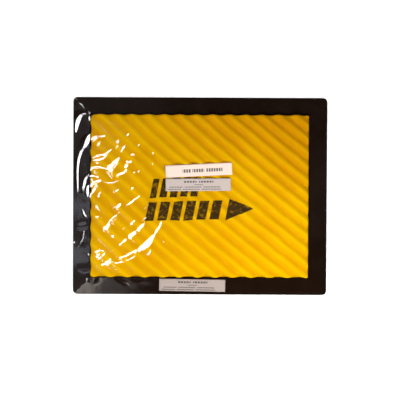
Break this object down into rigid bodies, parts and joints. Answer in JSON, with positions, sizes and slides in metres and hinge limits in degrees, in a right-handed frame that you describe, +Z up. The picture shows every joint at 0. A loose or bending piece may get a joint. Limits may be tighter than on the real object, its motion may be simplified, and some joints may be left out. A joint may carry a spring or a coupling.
{
  "type": "panel air filter",
  "caption": "Flat rectangular engine air filter: a ribbed foam pad on a wire grid in a moulded sealing rim, closed in a clear film wrap with paper labels.",
  "frame": {"origin": "centre of the overall box's underside, on the wrap's flat underside", "axes": "+X along the filter's length, +Y along its width, +Z up out of the ribbed dirty side; the rim's sealing lips are at the bottom"},
  "size_m": [0.3024, 0.2354, 0.0435],
  "materials": {
    "rim_polyurethane": "self-skinned moulded polyurethane, satin black",
    "coarse_foam": "open-cell polyurethane foam, oiled, amber yellow",
    "fine_foam": "fine open-cell polyurethane foam, dry, green",
    "grid_steel": "zinc-plated steel wire, spot welded",
    "wrap_film": "clear heat-shrunk polyolefin film, glossy, wrinkled",
    "notice_paper": null,
    "stock_paper": null
  },
  "bodies": {
    "root": {"seal_rim": "rim_polyurethane", "coarse_foam": "coarse_foam", "fine_foam": "fine_foam", "grid_border_wire": "grid_steel", "grid_long_wires": "grid_steel", "grid_cross_wires": "grid_steel", "wrap_top_film": "wrap_film", "wrap_bottom_film": "wrap_film", "wrap_weld_fin": "wrap_film", "notice_label": "notice_paper", "wrap_stock_label": "stock_paper", "rim_stock_label": "stock_paper"}
  },
  "joints": []
}
